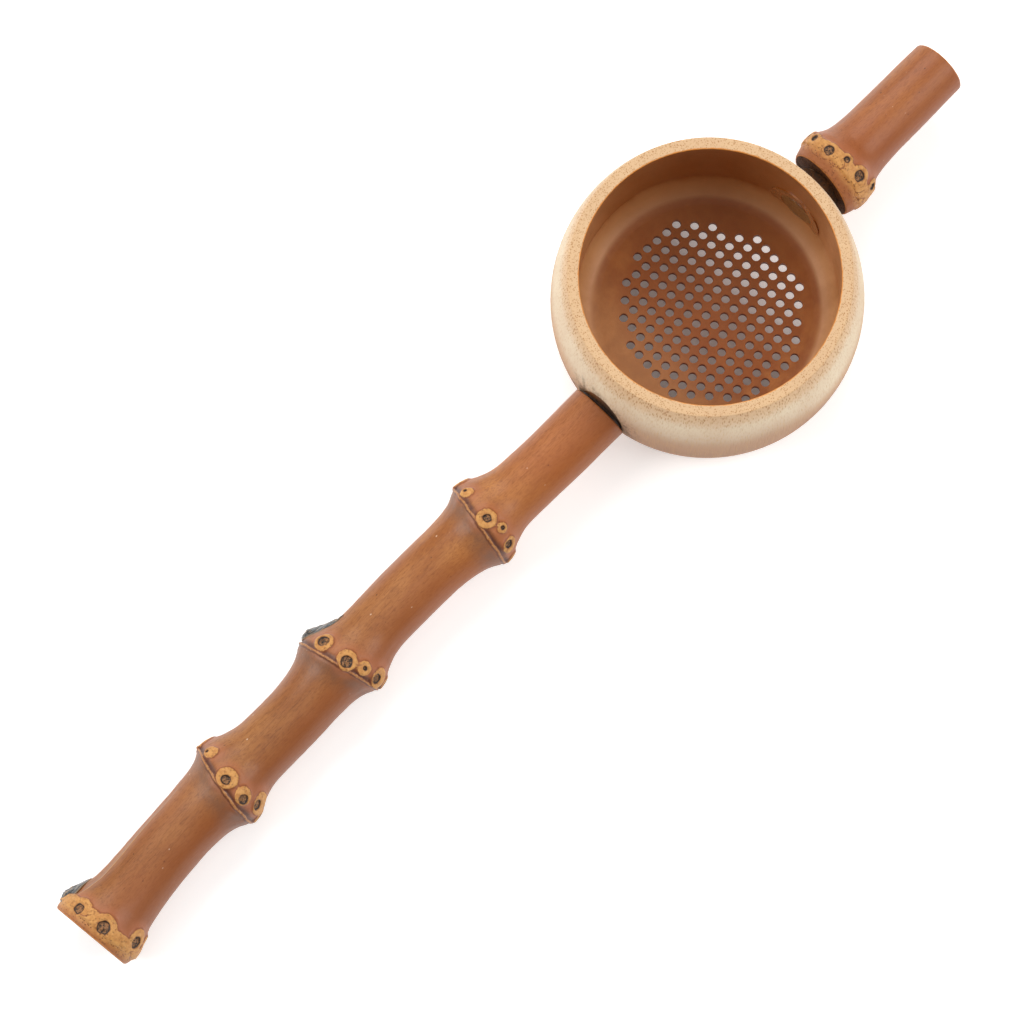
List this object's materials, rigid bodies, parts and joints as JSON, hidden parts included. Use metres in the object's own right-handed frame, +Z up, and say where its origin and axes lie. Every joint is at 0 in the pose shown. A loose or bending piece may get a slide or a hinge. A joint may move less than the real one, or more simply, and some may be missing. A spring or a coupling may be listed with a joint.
{
  "type": "tea strainer",
  "caption": "Bamboo tea strainer: a turned cup with a drilled floor, a long knuckled rhizome handle and a short rest stub opposite it.",
  "frame": {"origin": "centre of the face the cup stands on, on the cup's axis", "axes": "+Z up along the cup's axis, +X along the handle to its free end, +Y to the left of the handle"},
  "size_m": [0.2359, 0.0604, 0.034],
  "materials": {
    "turned_bamboo": "sanded culm outside, varnished inside",
    "rhizome": "satin varnish over natural skin",
    "dowel_bamboo": "plain",
    "cured_glue": "clear to brown, glossy"
  },
  "bodies": {
    "root": {"cup": "turned_bamboo", "handle": "rhizome", "rest_stub": "rhizome", "handle_dowel": "dowel_bamboo", "rest_dowel": "dowel_bamboo", "handle_glue": "cured_glue", "rest_glue": "cured_glue", "rest_glue_smear": "cured_glue"}
  },
  "joints": []
}
